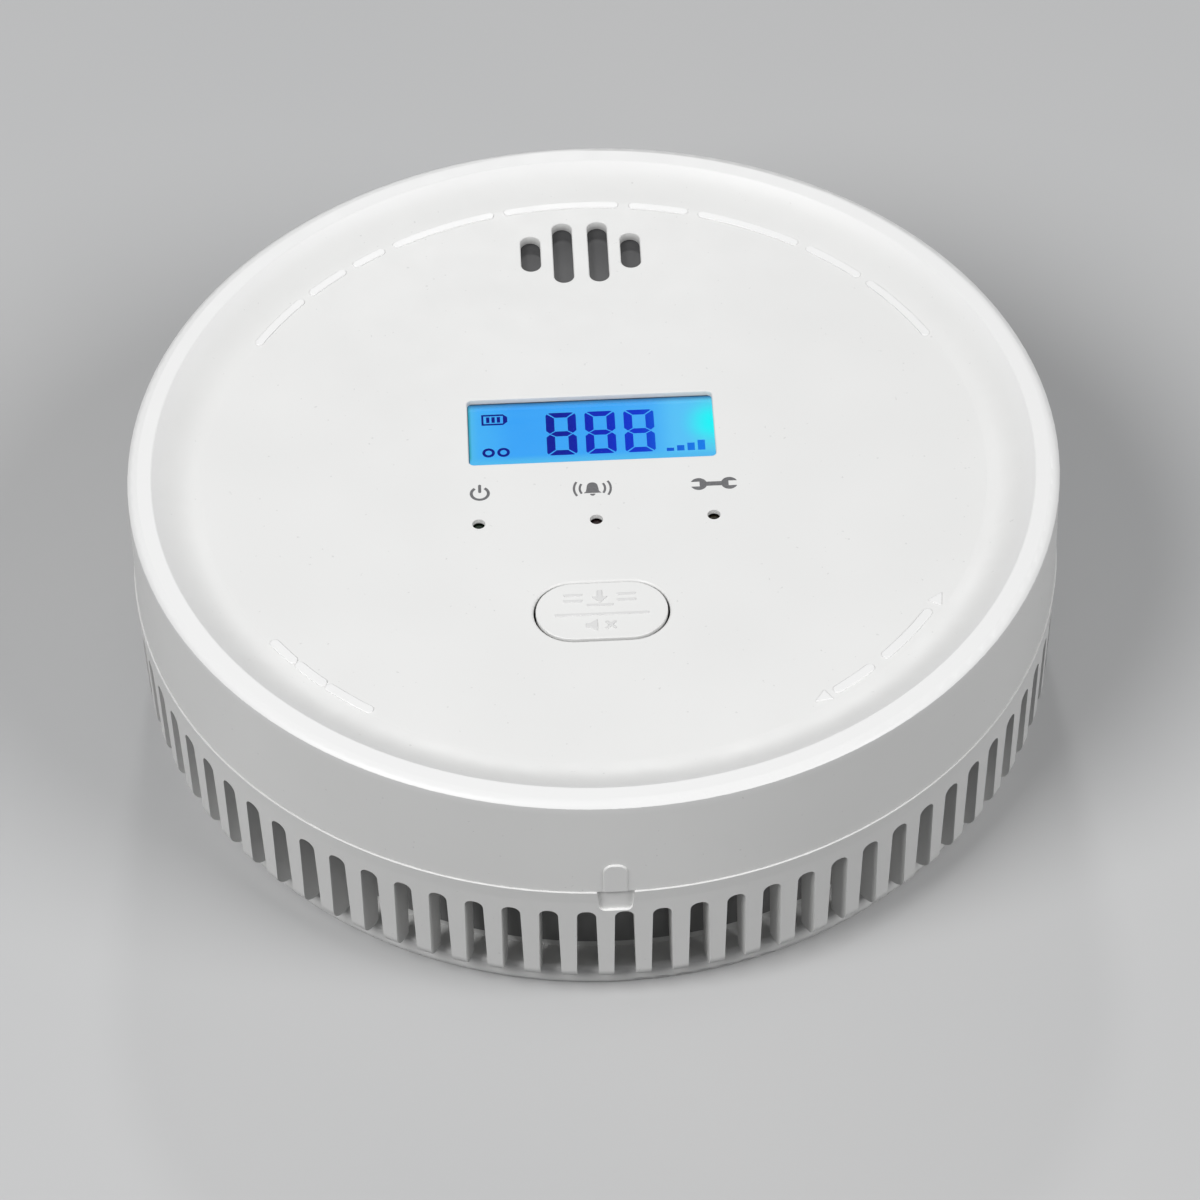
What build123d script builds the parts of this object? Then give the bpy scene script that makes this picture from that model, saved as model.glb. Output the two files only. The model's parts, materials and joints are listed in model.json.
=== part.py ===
from build123d import *
import os
from math import cos, radians, sin

# Round carbon monoxide detector with a display, on a twist-off mounting bracket.
# Millimetres. The bracket's back lies on z = 0, +Z points out of the front face,
# +X runs to the right along the display and +Y from the display to the sounder slots.

# --- Driving dimensions ---------------------------------------------------------------
overall_height = 33.5
widest_radius = 53.5
rim_radius = 53.2
face_depth = 2.0
shell = 2.0
bracket_radius = 50.6
bracket_plate = 2.2
bracket_ledge = 3.0
slot_count = 80
slot_phase = 1.0

# --- Levels up the height -------------------------------------------------------------
parting_z = 19.5
parting_gap = 0.04
skirt_low = parting_z + parting_gap
band_crease_z = 17.7
slot_top_z = 16.1
fin_bottom_z = 3.5
floor_low = 4.2
floor_high = 6.2
face_z = overall_height - face_depth
ceiling_z = face_z - shell
board_low = 22.6
board_high = 24.2

# --- Things on the face, in plan ------------------------------------------------------
window_centre = (0, 6.6)
window_size = (28.4, 10.6)
window_corner = 0.6
led_spacing = 13.35
led_y = -8.2
led_places = [(side * led_spacing, led_y) for side in (-1, 0, 1)]
led_hole_radius = 0.75
lamp_radius = 1.5
lamp_wall = 0.6
button_y = -22.4
button_size = (14.8, 8.5)
button_gap = 0.25
button_travel = 0.5
sounder_y = 34.8
sounder_slots_y = 36.45
sounder_slot_width = 2.35
sounder_slots = [(-5.95, 6.1), (-2.1, 10.4), (2.1, 10.4), (5.95, 6.1)]
sounder_wall = 1.2
collar_inner = 12.2
button_edge_round = 0.3
slot_edge_round = 0.15

# --- Display stack --------------------------------------------------------------------
window_recess = 0.7
window_pane = (34.4, 16.4, 0.5)
pocket_clearance = 0.2
lcd_size = (34.0, 16.0)
lcd_high = face_z - window_recess - window_pane[2] - 0.1
lcd_pane = 1.1
lcd_ledge = 2.0
strip_size = (30.0, 1.6)
strip_y = window_centre[1] - 6.4

# --- Circuit board --------------------------------------------------------------------
board_centre_y = -4.0
board_radius = 34.5
board_top_y = 21.0
board_screw_places = [(-31, -4), (31, -4), (-17, -29), (17, -29)]
board_shank_radius = 1.0
board_post_radius = 2.4
sensor_y = -31.0
sensor_radius = 7.5

# --- Case screws ----------------------------------------------------------------------
case_screw_circle = 41.0
case_screw_places = [
    (case_screw_circle * cos(radians(angle)), case_screw_circle * sin(radians(angle)))
    for angle in (52, 128, 232, 308)
]
case_shank_radius = 1.3
case_head_radius = 2.6
case_seat_z = 15.0
post_joint_z = 20.0
pilot_clearance = 0.03

# --- Battery bay ----------------------------------------------------------------------
cell_radius = 7.25
cell_length = 49.2
nub_radius = 2.6
nub_length = 1.3
cell_pitch = 15.2
cell_z = 12.4
bay_y = 2.0
bay_length = 57.0
bay_width = 3 * cell_pitch
bay_wall = 1.5
bay_roof_low = 19.9
bay_roof_high = 21.2
cell_rows = [bay_y - cell_pitch, bay_y, bay_y + cell_pitch]
cell_directions = [1, -1, 1]
contact_thickness = 0.4
contact_x = bay_length / 2 - contact_thickness
contact_plate_size = 11.0
touch_gap = 0.02
finger_places = [(1, cell_rows[0]), (-1, 12.6)]
finger_width = 2.4

# --- Rear housing and bayonet ---------------------------------------------------------
tub_radius = 47.6
tub_wall = 1.6
fin_inner = 50.0
fin_outer_low = 53.0
fin_corner = 2.1
bayonet_angles = (90, 210, 330)
bayonet_span = 14.0
lug_outer = 48.7
lug_low = 7.0
lug_high = 8.6

BASE = (Align.CENTER, Align.CENTER, Align.MIN)


def block(width, depth, low, high, x=0, y=0):
    return Pos(x, y, low) * Box(width, depth, high - low, align=BASE)


def disc(radius, low, high, x=0, y=0):
    return Pos(x, y, low) * Cylinder(radius, high - low, align=BASE)


def tube(outer, inner, low, high, x=0, y=0):
    return disc(outer, low, high, x, y) - disc(inner, low, high, x, y)


def oval(length, width, low, high, x=0, y=0, turn=0):
    """A stadium-shaped prism, with its length along X before the turn."""
    return Pos(x, y, low) * extrude(SlotOverall(length, width, rotation=turn), amount=high - low)


def arc_block(inner, outer, low, high, middle, span):
    """A part of a ring that covers span degrees about the angle middle."""
    in_place = (Align.NONE, Align.NONE, Align.MIN)
    sector = Cylinder(outer, high - low, arc_size=span, align=in_place)
    sector -= Cylinder(inner, high - low, align=BASE)
    return Pos(0, 0, low) * Rot(0, 0, middle - span / 2) * sector


def at_places(places, make):
    """One piece, repeated at each (x, y) place."""
    return [make(x, y) for x, y in places]


def turned(*edges):
    """A solid of revolution about Z from a closed outline of (radius, height) edges."""
    outline = [edge for piece in edges for edge in piece.edges()]
    return revolve(Plane.XZ * make_face(outline), axis=Axis.Z)


def side_plate(outline, distance, height, thickness):
    """An outline seen from the front, made into a plate that faces -Y at that distance."""
    front = Plane(origin=(0, -distance, height), x_dir=(1, 0, 0), z_dir=(0, -1, 0))
    return extrude(front * outline, amount=thickness)


# --- Front cover ----------------------------------------------------------------------
def cover_shell():
    """Raised flat rim, concave cove down to the recessed face, and the side skirt."""
    skirt_radius = widest_radius - 0.15
    round_run = 1.1
    round_drop = 0.5
    crease_radius = 50.5
    flat_radius = 45.0
    cove_run = crease_radius - flat_radius
    cove_radius = (cove_run**2 + face_depth**2) / (2 * face_depth)
    inner_top = overall_height - shell - 0.3
    flat_edge = rim_radius - round_run
    round_low = overall_height - round_drop
    outside = Polyline((skirt_radius, skirt_low), (rim_radius, round_low))
    rim_corner = TangentArc((flat_edge, overall_height), (rim_radius, round_low), tangent=(1, 0))
    rim = Polyline((flat_edge, overall_height), (crease_radius, overall_height))
    cove = RadiusArc((crease_radius, overall_height), (flat_radius, face_z), cove_radius)
    inside = Polyline(
        (flat_radius, face_z),
        (0, face_z),
        (0, ceiling_z),
        (flat_radius + 0.5, ceiling_z),
        (crease_radius - 1.5, inner_top),
        (skirt_radius - shell - 0.2, inner_top),
        (skirt_radius - shell, skirt_low),
        (skirt_radius, skirt_low),
    )
    body = turned(outside, rim_corner, rim, cove, inside)
    creases = body.edges().filter_by_position(Axis.Z, overall_height - 0.01, overall_height + 0.01)
    return fillet(creases.sort_by(SortBy.LENGTH)[0], 0.3)


def release_tab():
    """The shallow raised tab with a rounded top at the lower edge of the skirt."""
    outline = Rectangle(2.65, 4.4, align=(Align.CENTER, Align.MIN))
    outline = fillet(outline.vertices().group_by(Axis.Y)[-1], 1.1)
    tab = side_plate(outline, rim_radius - 1, skirt_low, 3)
    tab &= disc(widest_radius, parting_z, overall_height)
    outer_edges = [edge for edge in tab.edges() if abs(edge.center().Y) > widest_radius - 0.03]
    return chamfer(outer_edges, 0.12)


def cover_posts():
    """Posts for the two sets of screws, the sounder's collar and the button's guide."""
    into_face = face_z - 0.5
    case_post_radius = 3.0
    guide_size = (20.4, 14.2)
    guide_opening = (18.0, 11.8)
    guide_low = 25.4
    collar = tube(collar_inner + 1.1, collar_inner, 27.4, into_face, y=sounder_y)
    guide = oval(*guide_size, guide_low, into_face, y=button_y)
    guide -= oval(*guide_opening, guide_low, into_face, y=button_y)
    posts = at_places(
        case_screw_places, lambda x, y: disc(case_post_radius, post_joint_z + 0.1, into_face, x, y)
    )
    posts += at_places(
        board_screw_places, lambda x, y: disc(board_post_radius, board_high, into_face, x, y)
    )
    return [collar, guide, *posts]


def cover_openings():
    """Everything that is cut out of the cover: the openings in the face and the pilot holes."""
    below = ceiling_z - 1
    above = face_z + 1
    pane_length, pane_width, _ = window_pane
    pocket_length = pane_length + 2 * pocket_clearance
    pocket_width = pane_width + 2 * pocket_clearance
    button_opening = [side + 2 * button_gap for side in button_size]
    window = extrude(RectangleRounded(*window_size, window_corner), amount=above - below)
    cuts = [
        Pos(*window_centre, below) * window,
        block(pocket_length, pocket_width, below, face_z - window_recess, *window_centre),
        disc(collar_inner, below, face_z - sounder_wall, y=sounder_y),
        oval(*button_opening, below, above, y=button_y),
    ]
    lamp_room = lamp_radius + 0.2
    cuts += at_places(led_places, lambda x, y: disc(led_hole_radius, below, above, x, y))
    cuts += at_places(led_places, lambda x, y: disc(lamp_room, below, face_z - lamp_wall, x, y))
    cuts += [
        oval(length, sounder_slot_width, below, above, x, sounder_slots_y, turn=90)
        for x, length in sounder_slots
    ]
    case_pilot = case_shank_radius + pilot_clearance
    board_pilot = board_shank_radius + pilot_clearance
    cuts += at_places(case_screw_places, lambda x, y: disc(case_pilot, post_joint_z, 26.5, x, y))
    cuts += at_places(board_screw_places, lambda x, y: disc(board_pilot, board_high, 28.3, x, y))
    return cuts


def opening_edges(cover, low_y, high_y):
    """The edges of the shaped openings in the face, between two places along Y."""
    edges = [edge for edge in cover.edges() if abs(edge.center().Z - face_z) < 0.001]
    return [edge for edge in edges if not edge.is_closed and low_y < edge.center().Y < high_y]


def front_cover():
    """The whole cover, with softened edges round the openings for window, button and sound."""
    cover = cover_shell() + release_tab() + cover_posts() - cover_openings()
    cover = fillet(opening_edges(cover, -rim_radius, led_y), button_edge_round)
    return fillet(opening_edges(cover, led_y, rim_radius), slot_edge_round)


# --- Display --------------------------------------------------------------------------
def display_window():
    length, width, thickness = window_pane
    top = face_z - window_recess
    return block(length, width, top - thickness, top, *window_centre)


def lcd_glass():
    """Two bonded panes, the lower one with a bare contact ledge along its lower edge."""
    x, y = window_centre
    length, width = lcd_size
    seam = lcd_high - lcd_pane
    upper = block(length, width - lcd_ledge, seam, lcd_high, x, y + lcd_ledge / 2)
    return upper + block(length, width, seam - lcd_pane, seam, x, y)


def backlight_guide():
    x, y = window_centre
    guide_high = lcd_high - 2 * lcd_pane - 0.1
    return block(31.0, 12.6, 24.9, guide_high, x - 1.2, y + 1.6)


def backlight_led():
    x, y = window_centre
    return block(1.4, 3.2, 25.0, 27.2, x + 15.2, y + 1.6)


def lcd_contact_strip():
    return block(*strip_size, board_high, lcd_high - 2 * lcd_pane, window_centre[0], strip_y)


def lcd_holder():
    """An open tray that clips the glass and the light guide to the board."""
    x, y = window_centre
    length, width = lcd_size
    wall = 1.65
    play = 0.15
    tray_high = 29.2
    tray_floor = 24.8
    holder = block(length + 2 * (wall + play), width + 2 * (wall + play), board_high, tray_high, x, y)
    holder -= block(length + 2 * play, width + 2 * play, tray_floor, lcd_high, x, y)
    strip_length, strip_width = strip_size
    return holder - block(strip_length + 0.4, strip_width + 0.4, board_low, lcd_high, x, strip_y)


# --- Test button and its switch -------------------------------------------------------
plunger_radius = 1.75
plunger_low = 26.6
plunger_high = 28.5
switch_high = 27.4
switch_side = 6.0


def test_button():
    """A hollow oval cap with a flange below the face and a stem onto the switch."""
    low = 28.0
    hollow_high = 30.1
    cap = oval(*button_size, low, face_z + 0.05, y=button_y)
    cap = fillet(cap.edges().group_by(Axis.Z)[-1], 0.12)
    flange = oval(17.4, 11.2, low, ceiling_z - 0.05, y=button_y)
    hollow = oval(12.6, 6.6, low, hollow_high, y=button_y)
    stem = disc(1.6, plunger_high + touch_gap, hollow_high + 0.1, y=button_y)
    return cap + flange - hollow + stem


def plunger_hole(low, high):
    return disc(plunger_radius + 0.07, low, high, y=button_y)


def switch_body():
    body = block(switch_side, switch_side, board_high, switch_high, y=button_y)
    return body - plunger_hole(plunger_low - button_travel - 0.2, switch_high)


def switch_cover_plate():
    top = switch_high + 0.3
    plate = block(switch_side - 0.2, switch_side - 0.2, switch_high, top, y=button_y)
    return plate - plunger_hole(switch_high, top)


def switch_plunger():
    return disc(plunger_radius, plunger_low, plunger_high, y=button_y)


def switch_legs():
    places = [(side * 3.6, button_y + end * 2.25) for side in (-1, 1) for end in (-1, 1)]
    return at_places(places, lambda x, y: block(1.2, 0.7, board_high, board_high + 0.3, x, y))


# --- Indicator lights -----------------------------------------------------------------
lamp_base = board_high + 1.0
lamp_dome = face_z - lamp_wall - 0.05 - lamp_radius


def led(side):
    x = side * led_spacing
    lamp = disc(lamp_radius, lamp_base, lamp_dome, x, led_y)
    lamp += disc(lamp_radius + 0.4, lamp_base, lamp_base + 0.8, x, led_y)
    return lamp + Pos(x, led_y, lamp_dome) * Sphere(lamp_radius)


def led_leads():
    places = [(x + lead * 0.9, y) for x, y in led_places for lead in (-1, 1)]
    return at_places(places, lambda x, y: block(0.5, 0.5, board_high, lamp_base, x, y))


# --- Sounder --------------------------------------------------------------------------
sounder_radius = 12.0
sounder_low = 22.0
sounder_high = face_z - sounder_wall - 0.1
sounder_ledge_z = 25.0
piezo_high = sounder_ledge_z - 0.05
piezo_thickness = 0.25


def sounder_housing():
    """A resonator cup, open to the back, whose inner ledge carries the piezo plate."""
    lid_low = sounder_high - 1.0
    cup = disc(sounder_radius, sounder_low, sounder_high, y=sounder_y)
    cup -= disc(sounder_radius - 1.3, sounder_low, sounder_ledge_z, y=sounder_y)
    cup -= disc(sounder_radius - 2.7, sounder_ledge_z, lid_low, y=sounder_y)
    return cup - disc(0.9, lid_low, sounder_high, y=sounder_y)


def piezo_plate():
    return disc(10.4, piezo_high - piezo_thickness, piezo_high, y=sounder_y)


def piezo_ceramic():
    high = piezo_high - piezo_thickness
    return disc(7.2, high - piezo_thickness, high, y=sounder_y)


def sounder_wire(side):
    """A short lead from the side of the sounder, bent down onto the board."""
    x = side * 3.0
    wall_y = sounder_y - sounder_radius + 0.1
    drop_y = wall_y - 3.4
    exit_z = 26.6
    route = FilletPolyline(
        (x, wall_y, exit_z), (x, drop_y, exit_z), (x, drop_y, board_high), radius=1.5
    )
    return sweep(Plane(route @ 0, z_dir=route % 0) * Circle(0.45), path=route)


# --- Carbon monoxide sensor -----------------------------------------------------------
sensor_cap_low = 12.0
sensor_cap_high = 12.8
sensor_body_high = 21.6
filter_high = 7.0
duct_radius = 8.0


def co_sensor_body():
    body = disc(sensor_radius, sensor_cap_high, sensor_body_high, y=sensor_y)
    return fillet(body.edges().group_by(Axis.Z)[-1], 0.6)


def co_sensor_cap():
    """The perforated disc through which the gas reaches the cell."""
    return tube(sensor_radius - 0.4, 1.5, sensor_cap_low, sensor_cap_high, y=sensor_y)


def co_sensor_pins():
    circle = 4.5
    places = [
        (circle * cos(radians(angle)), sensor_y + circle * sin(radians(angle)))
        for angle in (90, 210, 330)
    ]
    return at_places(places, lambda x, y: disc(0.5, sensor_body_high, board_low, x, y))


def sensor_gasket():
    return tube(duct_radius - 0.2, 5.2, filter_high + 0.1, sensor_cap_low, y=sensor_y)


def dust_filter():
    return disc(duct_radius - 0.2, floor_high, filter_high, y=sensor_y)


# --- Circuit board and its parts ------------------------------------------------------
def circuit_board():
    board = disc(board_radius, board_low, board_high, y=board_centre_y)
    beyond = 60
    board -= block(2 * beyond, beyond, board_low, board_high, y=board_top_y + beyond / 2)
    hole = board_shank_radius + 0.15
    return board - at_places(board_screw_places, lambda x, y: disc(hole, board_low, board_high, x, y))


chip_x = -21.0
chip_y = -15.0
chip_side = 7.0


def microcontroller():
    body = block(chip_side, chip_side, board_high + 0.2, board_high + 1.6, chip_x, chip_y)
    return chamfer(body.edges().group_by(Axis.Z)[-1], 0.25)


def microcontroller_pins():
    pins = []
    reach = chip_side / 2 + 0.5
    pins_per_side = 8
    for step in range(pins_per_side):
        along = (step - (pins_per_side - 1) / 2) * 0.8
        for side in (-1, 1):
            row = (board_high, board_high + 0.3, chip_x + along, chip_y + side * reach)
            column = (board_high, board_high + 0.3, chip_x + side * reach, chip_y + along)
            pins.append(block(0.35, 1.0, *row))
            pins.append(block(1.0, 0.35, *column))
    return pins


def electrolytic_capacitor():
    x, y = 22.5, -14.0
    base_high = board_high + 0.7
    can = disc(3.15, base_high, board_high + 5.0, x, y)
    can = fillet(can.edges().group_by(Axis.Z)[-1], 0.4)
    return can + block(6.6, 6.6, board_high, base_high, x, y)


def boost_coil():
    """A drum-shaped coil that raises the voltage for the sounder."""
    x, y = 25.5, 8.0
    low_flange = disc(3.6, board_high, board_high + 0.8, x, y)
    winding = disc(3.0, board_high + 0.8, board_high + 4.0, x, y)
    return low_flange + winding + disc(3.6, board_high + 4.0, board_high + 4.8, x, y)


def crystal():
    return oval(10.6, 4.4, board_high, board_high + 3.2, 16.0, -20.5)


def chip_components():
    """Small chip resistors and capacitors, in short rows beside the larger parts."""
    rows = [(-27.5, 4.5, 4), (-27.5, 10.0, 3), (-11.5, -14.0, 3), (10.5, -14.0, 2), (-14.0, 18.6, 4)]
    spacing = 2.2
    return [
        block(1.25, 2.0, board_high, board_high + 0.6, x + spacing * step, y)
        for x, y, count in rows
        for step in range(count)
    ]


# --- Rear housing ---------------------------------------------------------------------
def fin_comb():
    """The ring of upright fins under the band, with arched slots that open downwards."""
    comb_outer = widest_radius - 0.1
    arc_start = (fin_outer_low + 0.06, fin_bottom_z + fin_corner)
    arc_end = (fin_outer_low - fin_corner, fin_bottom_z)
    outside = Polyline((comb_outer, band_crease_z), arc_start)
    corner = TangentArc(arc_start, arc_end, tangent=(-0.04, -1))
    inside = Polyline(
        arc_end,
        (fin_inner, fin_bottom_z),
        (fin_inner, band_crease_z),
        (comb_outer, band_crease_z),
    )
    comb = turned(outside, corner, inside)
    half_top = 1.05
    half_foot = 1.28
    foot_z = fin_bottom_z - 1
    outline = Polygon(
        (-half_foot, foot_z), (half_foot, foot_z), (half_top, slot_top_z), (-half_top, slot_top_z),
        align=None,
    )
    outline = fillet(outline.vertices().group_by(Axis.Y)[-1], 0.95)
    slot = extrude(Plane.XZ.offset(fin_inner - 2) * outline, amount=8)
    pitch = 360 / slot_count
    return comb - [Rot(0, 0, slot_phase + pitch * step) * slot for step in range(slot_count)]


def housing_band():
    """The solid band above the fins, its shelf, the inner tub and the locating lip."""
    tub_inner = tub_radius - tub_wall
    band_chamfer = 0.08
    lip_inner, lip_outer = 50.0, 51.0
    lip_high = parting_z + 1.8
    return turned(Polyline(
        (tub_inner, floor_low),
        (tub_radius, floor_low),
        (tub_radius, band_crease_z),
        (fin_inner, band_crease_z),
        (widest_radius - 0.1, band_crease_z),
        (widest_radius, parting_z - band_chamfer),
        (widest_radius - band_chamfer, parting_z),
        (lip_outer, parting_z),
        (lip_outer, lip_high),
        (lip_inner, lip_high),
        (lip_inner, parting_z),
        (tub_inner, parting_z),
        (tub_inner, floor_low),
    ))


def band_notch():
    """The thumbnail recess in the band, right under the cover's tab."""
    notch_low = parting_z - 3.2
    half_foot = 1.8
    half_top = 2.1
    outline = Polygon(
        (-half_foot, 0), (half_foot, 0), (half_top, parting_z - notch_low + 0.5),
        (-half_top, parting_z - notch_low + 0.5), align=None,
    )
    outline = fillet(outline.vertices().group_by(Axis.Y)[0], 0.7)
    return side_plate(outline, widest_radius - 0.5, notch_low, 2)


def bayonet_lugs():
    return [
        arc_block(tub_radius - 0.5, lug_outer, lug_low, lug_high, angle, bayonet_span)
        for angle in bayonet_angles
    ]


def battery_bay():
    """A box open to the back, with two ribs that keep the three cells apart."""
    outer_length = bay_length + 2 * bay_wall
    outer_width = bay_width + 2 * bay_wall
    bay = block(outer_length, outer_width, floor_low, bay_roof_high, y=bay_y)
    bay -= block(bay_length, bay_width, floor_low, bay_roof_low, y=bay_y)
    rib_places = [(0, bay_y - cell_pitch / 2), (0, bay_y + cell_pitch / 2)]
    bay += at_places(rib_places, lambda x, y: block(44, 1.2, 16.8, bay_roof_low + 0.5, x, y))
    return bay


def housing_openings():
    """Screw holes, the sensor's breathing slots and the slots for the contact fingers."""
    below = floor_low - 1
    counterbore = case_head_radius + 0.3
    shank_hole = case_shank_radius + 0.2
    cuts = at_places(case_screw_places, lambda x, y: disc(counterbore, below, case_seat_z, x, y))
    cuts += at_places(case_screw_places, lambda x, y: disc(shank_hole, below, post_joint_z, x, y))
    cuts += [block(1.5, 10, below, floor_high, 3.0 * step, sensor_y) for step in range(-2, 3)]
    cuts += [
        block(1.2, finger_width + 0.8, bay_roof_low, bay_roof_high, side * contact_x, y)
        for side, y in finger_places
    ]
    return cuts


def rear_housing():
    housing = housing_band() + fin_comb() - band_notch()
    housing += disc(tub_radius, floor_low, floor_high)
    housing += at_places(case_screw_places, lambda x, y: disc(4.2, floor_low, post_joint_z, x, y))
    housing += tube(duct_radius + 1.2, duct_radius, floor_low, 11.0, y=sensor_y)
    housing -= block(bay_length, bay_width, floor_low, floor_high, y=bay_y)
    return housing + battery_bay() + bayonet_lugs() - housing_openings()


def label_plate():
    return block(34, 10, floor_low - 0.2, floor_low, y=35.5)


# --- Batteries and contacts -----------------------------------------------------------
def battery(row):
    """One AA cell, with its button end towards +X or -X."""
    direction = cell_directions[row]
    button_end = direction * (contact_x - touch_gap)
    along = Plane(origin=(button_end, cell_rows[row], cell_z), z_dir=(-direction, 0, 0))
    nub = extrude(along * Circle(nub_radius), amount=nub_length + 0.5)
    can = extrude(along.offset(nub_length) * Circle(cell_radius), amount=cell_length)
    return fillet(can.edges(), 0.5) + nub


def contact_plate(side, middle_y, width):
    x = side * (contact_x + contact_thickness / 2)
    half = contact_plate_size / 2
    return block(contact_thickness, width, cell_z - half, cell_z + half, x, middle_y)


def contact_finger(side, y):
    """The tongue that rises through the bay's roof and bends to touch the board."""
    x = side * (contact_x + contact_thickness / 2)
    upright = block(contact_thickness, finger_width, cell_z + 5.0, board_low, x, y)
    return upright + block(3.0, finger_width, board_low - contact_thickness, board_low, x - side * 1.3, y)


def positive_terminal():
    return contact_plate(1, cell_rows[0], contact_plate_size) + contact_finger(*finger_places[0])


def negative_terminal():
    """The plate of the third cell, with a shoulder towards its finger."""
    side, finger_y = finger_places[1]
    x = side * (contact_x + contact_thickness / 2)
    top = cell_z + contact_plate_size / 2
    shoulder = block(contact_thickness, 8, top - 2, top, x, finger_y + 2.8)
    return contact_plate(side, cell_rows[2], contact_plate_size) + shoulder + contact_finger(side, finger_y)


def series_link(side, first_row):
    """A plate that joins two neighbouring cells in series."""
    middle_y = (cell_rows[first_row] + cell_rows[first_row + 1]) / 2
    return contact_plate(side, middle_y, cell_pitch + 9)


def battery_springs():
    """Three coil springs at the flat ends of the cells."""
    wire = 0.4
    turns = 4
    end_gap = 0.05
    room = 2 * contact_x - touch_gap - nub_length - cell_length
    length = room - 2 * (wire + end_gap)
    coil = Helix(pitch=length / turns, height=length, radius=3.4)
    spring = sweep(Plane(coil @ 0, z_dir=coil % 0) * Circle(wire), path=coil, is_frenet=True)
    return [
        Pos(-direction * (contact_x - wire - end_gap), y, cell_z) * Rot(0, direction * 90, 0) * spring
        for direction, y in zip(cell_directions, cell_rows)
    ]


# --- Screws ---------------------------------------------------------------------------
def screw(x, y, head_radius, head_low, seat_z, shank_radius, tip_z):
    """A pan-head screw that points up, with a cross recess in its head."""
    recess_high = head_low + (seat_z - head_low) * 0.55
    recess_length = head_radius
    recess_width = head_radius * 0.24
    body = disc(head_radius, head_low, seat_z, x, y) + disc(shank_radius, head_low, tip_z, x, y)
    body -= block(recess_length, recess_width, head_low, recess_high, x, y)
    return body - block(recess_width, recess_length, head_low, recess_high, x, y)


def case_screws():
    """Four screws that hold the rear housing to the front cover."""
    return at_places(
        case_screw_places,
        lambda x, y: screw(x, y, case_head_radius, case_seat_z - 1.8, case_seat_z, case_shank_radius, 25.0),
    )


def board_screws():
    """Four small screws that hold the board to the front cover."""
    return at_places(
        board_screw_places,
        lambda x, y: screw(x, y, 1.9, board_low - 1.2, board_low, board_shank_radius, 27.4),
    )


# --- Mounting bracket -----------------------------------------------------------------
def bayonet_hooks():
    """Three hooks that reach over the housing's lugs, each closed at its clockwise end."""
    hook_outer = fin_inner - 0.3
    hook_inner = tub_radius + 0.3
    post_inner = lug_outer + 0.25
    root = bracket_ledge - 1
    lip_low = lug_high + 0.2
    hook_high = 10.2
    stop_span = 1.8
    hooks = []
    for angle in bayonet_angles:
        stop_angle = angle - bayonet_span / 2 - stop_span / 2 - 0.2
        hooks.append(arc_block(post_inner, hook_outer, root, hook_high, angle, bayonet_span))
        hooks.append(arc_block(hook_inner, hook_outer, lip_low, hook_high, angle, bayonet_span))
        hooks.append(arc_block(hook_inner, hook_outer, root, hook_high, stop_angle, stop_span))
    return hooks


def bracket_plate_body():
    """A round plate with a raised ledge all round and rounded outer edges."""
    low_round = 1.2
    top_round = 0.6
    ledge_inner = 44.5
    outer_low = TangentArc((bracket_radius - low_round, 0), (bracket_radius, low_round), tangent=(1, 0))
    side = Polyline((bracket_radius, low_round), (bracket_radius, bracket_ledge - top_round))
    outer_top = TangentArc(
        (bracket_radius, bracket_ledge - top_round),
        (bracket_radius - top_round, bracket_ledge),
        tangent=(0, 1),
    )
    rest = Polyline(
        (bracket_radius - top_round, bracket_ledge),
        (ledge_inner, bracket_ledge),
        (ledge_inner, bracket_plate),
        (0, bracket_plate),
        (0, 0),
        (bracket_radius - low_round, 0),
    )
    return turned(outer_low, side, outer_top, rest)


def mounting_bracket():
    """The wall plate with its two rings, the bayonet hooks and four screw slots."""
    screw_circle = 30.0
    seat_ring = tube(tub_radius - 0.3, 44.5, 0, floor_low - 0.1)
    stiffening_ring = tube(24.0, 22.8, 0, bracket_ledge)
    bracket = bracket_plate_body() + seat_ring + stiffening_ring + bayonet_hooks()
    slot = oval(10, 4.5, 0, bracket_ledge, screw_circle)
    return bracket - [Rot(0, 0, 90 * turn) * slot for turn in range(4)]


nodes = {
    "front_cover": front_cover,
    "rear_housing": rear_housing,
    "mounting_bracket": mounting_bracket,
    "display_window": display_window,
    "lcd_glass": lcd_glass,
    "backlight_guide": backlight_guide,
    "backlight_led": backlight_led,
    "lcd_contact_strip": lcd_contact_strip,
    "lcd_holder": lcd_holder,
    "test_button": test_button,
    "switch_body": switch_body,
    "switch_cover_plate": switch_cover_plate,
    "switch_plunger": switch_plunger,
    "switch_legs": switch_legs,
    "power_led": lambda: led(-1),
    "alarm_led": lambda: led(0),
    "fault_led": lambda: led(1),
    "led_leads": led_leads,
    "sounder_housing": sounder_housing,
    "piezo_plate": piezo_plate,
    "piezo_ceramic": piezo_ceramic,
    "sounder_wire_red": lambda: sounder_wire(-1),
    "sounder_wire_black": lambda: sounder_wire(1),
    "co_sensor_body": co_sensor_body,
    "co_sensor_cap": co_sensor_cap,
    "co_sensor_pins": co_sensor_pins,
    "sensor_gasket": sensor_gasket,
    "dust_filter": dust_filter,
    "circuit_board": circuit_board,
    "microcontroller": microcontroller,
    "microcontroller_pins": microcontroller_pins,
    "electrolytic_capacitor": electrolytic_capacitor,
    "boost_coil": boost_coil,
    "crystal": crystal,
    "chip_components": chip_components,
    "label_plate": label_plate,
    "battery_1": lambda: battery(0),
    "battery_2": lambda: battery(1),
    "battery_3": lambda: battery(2),
    "positive_terminal": positive_terminal,
    "negative_terminal": negative_terminal,
    "series_link_left": lambda: series_link(-1, 0),
    "series_link_right": lambda: series_link(1, 1),
    "battery_springs": battery_springs,
    "case_screws": case_screws,
    "board_screws": board_screws,
}

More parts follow.
